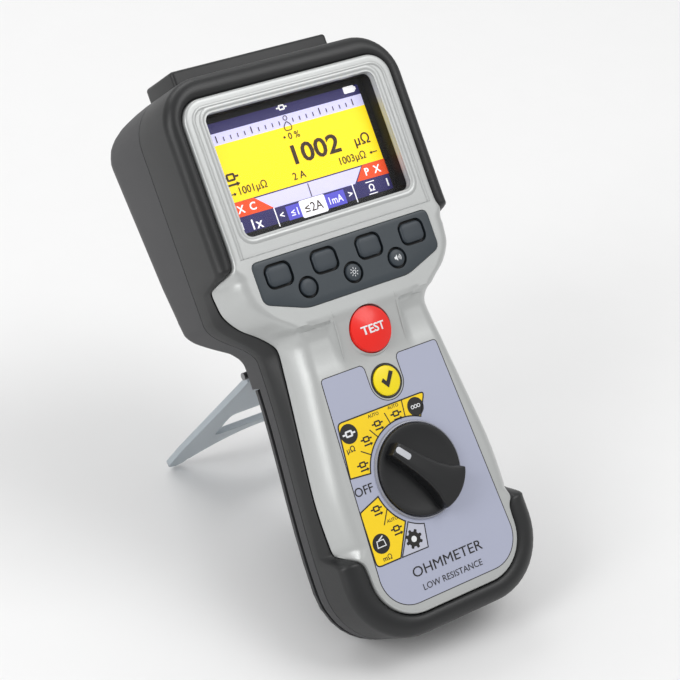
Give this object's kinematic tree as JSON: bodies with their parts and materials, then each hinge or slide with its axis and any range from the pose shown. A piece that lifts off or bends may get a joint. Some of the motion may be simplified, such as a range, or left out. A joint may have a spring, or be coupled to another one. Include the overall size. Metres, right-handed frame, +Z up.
{
  "type": "low-resistance ohmmeter",
  "caption": "Hand-held low-resistance test meter with a colour display, keypad, range knob and top lead sockets, leaning back on a fold-out rear stand.",
  "frame": {"origin": "bottom centre of the bounding box, on the floor that the leaning meter stands on", "axes": "+X to the meter's right as its face is read, -Y out of its front, +Z up; the meter leans back 40 degrees on its open stand"},
  "size_m": [0.105, 0.182, 0.1908],
  "materials": {
    "silver": "fine moulded silver",
    "soft_black": "soft satin",
    "rear_grey": "fine moulded",
    "black_rubber": "matt",
    "screw_steel": "zinc plated",
    "window": "clear gloss",
    "screen": "lit display",
    "keypad_slate": "satin film",
    "label_film": "satin printed film",
    "collar_silver": "satin",
    "board_green": "solder mask",
    "black_plastic": "moulded",
    "switch_green": "moulded",
    "brass": "plated",
    "heat_sink_metal": "extruded",
    "copper_alloy": "rolled",
    "fuse_ceramic": "glazed",
    "cell_wrap": "shrink wrap",
    "contact_steel": "nickel plated",
    "stand_clear": "pale translucent",
    "knob_black": "satin black",
    "pointer_grey": "satin",
    "test_red": "satin red",
    "ok_yellow": "printed yellow",
    "key_rubber": "satin"
  },
  "bodies": {
    "case": {"front_shell": "silver", "bumper": "soft_black", "rear_shell": "rear_grey", "case_seal": "black_rubber", "case_screws": "screw_steel", "display_window": "window", "display_gasket": "black_rubber", "display_module": "screen", "keypad_fascia": "keypad_slate", "keypad_mat": "black_rubber", "range_label": "label_film", "knob_collar": "collar_silver", "main_board": "board_green", "tact_switches": "black_plastic", "rotary_switch": "switch_green", "buzzer": "black_plastic", "measuring_board": "board_green", "board_spacers": "brass", "heat_sink": "heat_sink_metal", "current_shunt": "copper_alloy", "fuse": "fuse_ceramic", "fuse_clips": "brass", "terminal_block": "black_plastic", "socket_sleeves": "brass", "terminal_board": "board_green", "battery_tray": "black_plastic", "battery_cells": "cell_wrap", "battery_contacts": "contact_steel", "battery_springs": "contact_steel", "battery_cover": "rear_grey", "cover_screws": "screw_steel", "stand_pins": "screw_steel"},
    "knob": {"knob": "knob_black", "knob_shaft": "screw_steel", "knob_pointer": "pointer_grey"},
    "stand": {"stand": "stand_clear"},
    "test_button": {"test_button": "test_red"},
    "ok_button": {"ok_button": "ok_yellow"},
    "soft_key_1": {"soft_key_1": "key_rubber"},
    "soft_key_2": {"soft_key_2": "key_rubber"},
    "soft_key_3": {"soft_key_3": "key_rubber"},
    "soft_key_4": {"soft_key_4": "key_rubber"},
    "round_key_1": {"round_key_1": "key_rubber"},
    "round_key_2": {"round_key_2": "key_rubber"},
    "round_key_3": {"round_key_3": "key_rubber"}
  },
  "joints": [
    {"name": "knob_turn", "type": "hinge", "parent": "case", "child": "knob", "pos_m": [0, -0.05743, 0.06713], "axis": [0, -0.766, 0.6428], "range_deg": [-48, 120]},
    {"name": "stand_fold", "type": "hinge", "parent": "case", "child": "stand", "pos_m": [0, 0.00844, 0.08262], "axis": [-1, 0, 0], "range_deg": [0, 75.3]},
    {"name": "test_press", "type": "slide", "parent": "case", "child": "test_button", "axis": [0, 0.766, -0.6428], "range_m": [0, 0.0016], "stiffness_N_per_m": 900},
    {"name": "ok_press", "type": "slide", "parent": "case", "child": "ok_button", "axis": [0, 0.766, -0.6428], "range_m": [0, 0.0012], "stiffness_N_per_m": 900},
    {"name": "soft_key_1_press", "type": "slide", "parent": "case", "child": "soft_key_1", "axis": [0, 0.766, -0.6428], "range_m": [0, 0.001], "stiffness_N_per_m": 900},
    {"name": "soft_key_2_press", "type": "slide", "parent": "case", "child": "soft_key_2", "axis": [0, 0.766, -0.6428], "range_m": [0, 0.001], "stiffness_N_per_m": 900},
    {"name": "soft_key_3_press", "type": "slide", "parent": "case", "child": "soft_key_3", "axis": [0, 0.766, -0.6428], "range_m": [0, 0.001], "stiffness_N_per_m": 900},
    {"name": "soft_key_4_press", "type": "slide", "parent": "case", "child": "soft_key_4", "axis": [0, 0.766, -0.6428], "range_m": [0, 0.001], "stiffness_N_per_m": 900},
    {"name": "round_key_1_press", "type": "slide", "parent": "case", "child": "round_key_1", "axis": [0, 0.766, -0.6428], "range_m": [0, 0.001], "stiffness_N_per_m": 900},
    {"name": "round_key_2_press", "type": "slide", "parent": "case", "child": "round_key_2", "axis": [0, 0.766, -0.6428], "range_m": [0, 0.001], "stiffness_N_per_m": 900},
    {"name": "round_key_3_press", "type": "slide", "parent": "case", "child": "round_key_3", "axis": [0, 0.766, -0.6428], "range_m": [0, 0.001], "stiffness_N_per_m": 900}
  ]
}
